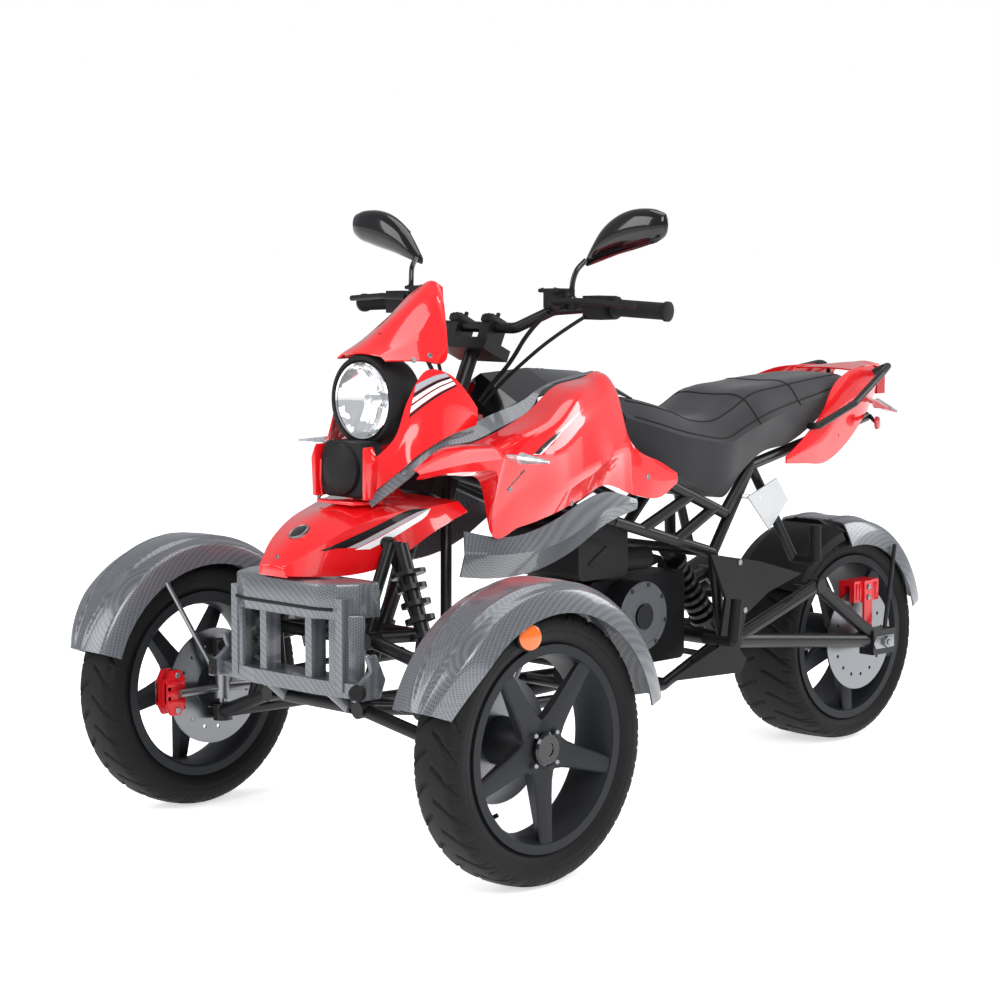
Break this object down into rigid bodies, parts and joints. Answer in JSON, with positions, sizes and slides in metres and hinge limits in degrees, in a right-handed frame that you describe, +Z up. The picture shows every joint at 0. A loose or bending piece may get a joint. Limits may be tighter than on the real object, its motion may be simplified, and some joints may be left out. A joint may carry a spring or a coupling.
{
  "type": "reverse three-wheeled motorcycle",
  "caption": "Reverse trike with steered double-wishbone front wheels, one driven rear wheel, glossy red bodywork and a two-level seat",
  "frame": {"origin": "middle of the footprint, on the ground", "axes": "+X forward, +Y to the rider's left, +Z up"},
  "size_m": [2.0433, 1.135, 1.218],
  "materials": {
    "body_red": "glossy deep red paint",
    "carbon_plastic": "dark grey woven-look satin",
    "black_plastic": "matte black",
    "black_gloss": "glossy black",
    "frame_black": "satin black paint",
    "engine_black": "satin black heat-proof paint",
    "wheel_grey": "matte dark grey paint",
    "knuckle_alloy": "bare cast alloy",
    "caliper_red": "red paint",
    "disc_steel": "brushed",
    "chain_steel": "oiled steel",
    "tyre": "black rubber",
    "rubber": "black rubber",
    "seat_vinyl": "charcoal grained vinyl",
    "lamp_glass": "clear",
    "lamp_clear": "clear lens",
    "lamp_red": "red lens",
    "plate_alloy": "blank sheet"
  },
  "bodies": {
    "chassis": {"air_box": "black_plastic", "bumper": "carbon_plastic", "caliper_rear": "caliper_red", "chain": "chain_steel", "console": "black_gloss", "console_trim": "carbon_plastic", "engine": "engine_black", "exhaust": "engine_black", "foot_panels": "black_plastic", "foot_pegs": "rubber", "front_shocks": "frame_black", "front_subframe": "frame_black", "grab_rails": "frame_black", "headlamp": "lamp_glass", "headlamp_bucket": "black_plastic", "headlamp_cowl": "body_red", "horn_cover": "black_plastic", "main_frame": "frame_black", "nose_cone": "body_red", "number_plate": "plate_alloy", "rear_fender": "carbon_plastic", "rear_hugger": "black_plastic", "rear_shock": "frame_black", "seat": "seat_vinyl", "side_cowls": "body_red", "side_panels": "carbon_plastic", "swing_arm": "frame_black", "tail_cowl": "body_red", "tail_lamp": "lamp_red", "turn_signals": "lamp_clear", "visor": "body_red", "wishbones": "frame_black"},
    "steering": {"steering_column": "frame_black", "handlebar": "frame_black", "grips": "rubber", "controls": "black_plastic", "mirrors": "black_plastic"},
    "wheel_rear": {"tyre_rear": "tyre", "rim_rear": "wheel_grey", "disc_rear": "disc_steel", "sprocket_rear": "chain_steel"},
    "knuckle_left": {"knuckle_left": "knuckle_alloy", "caliper_left": "caliper_red", "fender_left": "carbon_plastic"},
    "wheel_front_left": {"tyre_front_left": "tyre", "rim_front_left": "wheel_grey", "disc_front_left": "disc_steel"},
    "tie_rod_left": {"tie_rod_left": "frame_black"},
    "knuckle_right": {"knuckle_right": "knuckle_alloy", "caliper_right": "caliper_red", "fender_right": "carbon_plastic"},
    "wheel_front_right": {"tyre_front_right": "tyre", "rim_front_right": "wheel_grey", "disc_front_right": "disc_steel"},
    "tie_rod_right": {"tie_rod_right": "frame_black"}
  },
  "joints": [
    {"name": "steer", "type": "hinge", "parent": "chassis", "child": "steering", "pos_m": [0.3692, 0, 0.985], "axis": [-0.4226, 0, 0.9063], "range_deg": [-28, 28]},
    {"name": "wheel_rear", "type": "hinge", "parent": "chassis", "child": "wheel_rear", "pos_m": [-0.7565, 0, 0.2405], "axis": [0, 1, 0], "continuous": true},
    {"name": "knuckle_left", "type": "hinge", "parent": "chassis", "child": "knuckle_left", "pos_m": [0.7305, 0.3835, 0.253], "axis": [0, 0, 1], "range_deg": [-28, 28]},
    {"name": "wheel_front_left", "type": "hinge", "parent": "knuckle_left", "child": "wheel_front_left", "pos_m": [0.7305, 0.4865, 0.253], "axis": [0, 1, 0], "continuous": true},
    {"name": "tie_rod_left", "type": "hinge", "parent": "knuckle_left", "child": "tie_rod_left", "pos_m": [0.6525, 0.3575, 0.271], "axis": [0, 0, 1], "range_deg": [-28, 28]},
    {"name": "knuckle_right", "type": "hinge", "parent": "chassis", "child": "knuckle_right", "pos_m": [0.7305, -0.3835, 0.253], "axis": [0, 0, 1], "range_deg": [-28, 28]},
    {"name": "wheel_front_right", "type": "hinge", "parent": "knuckle_right", "child": "wheel_front_right", "pos_m": [0.7305, -0.4865, 0.253], "axis": [0, 1, 0], "continuous": true},
    {"name": "tie_rod_right", "type": "hinge", "parent": "knuckle_right", "child": "tie_rod_right", "pos_m": [0.6525, -0.3575, 0.271], "axis": [0, 0, 1], "range_deg": [-28, 28]}
  ],
  "couplings": [
    {"joint": "knuckle_left", "follows": "steer", "ratio": 1},
    {"joint": "tie_rod_left", "follows": "steer", "ratio": -1},
    {"joint": "knuckle_right", "follows": "steer", "ratio": 1},
    {"joint": "tie_rod_right", "follows": "steer", "ratio": -1}
  ]
}
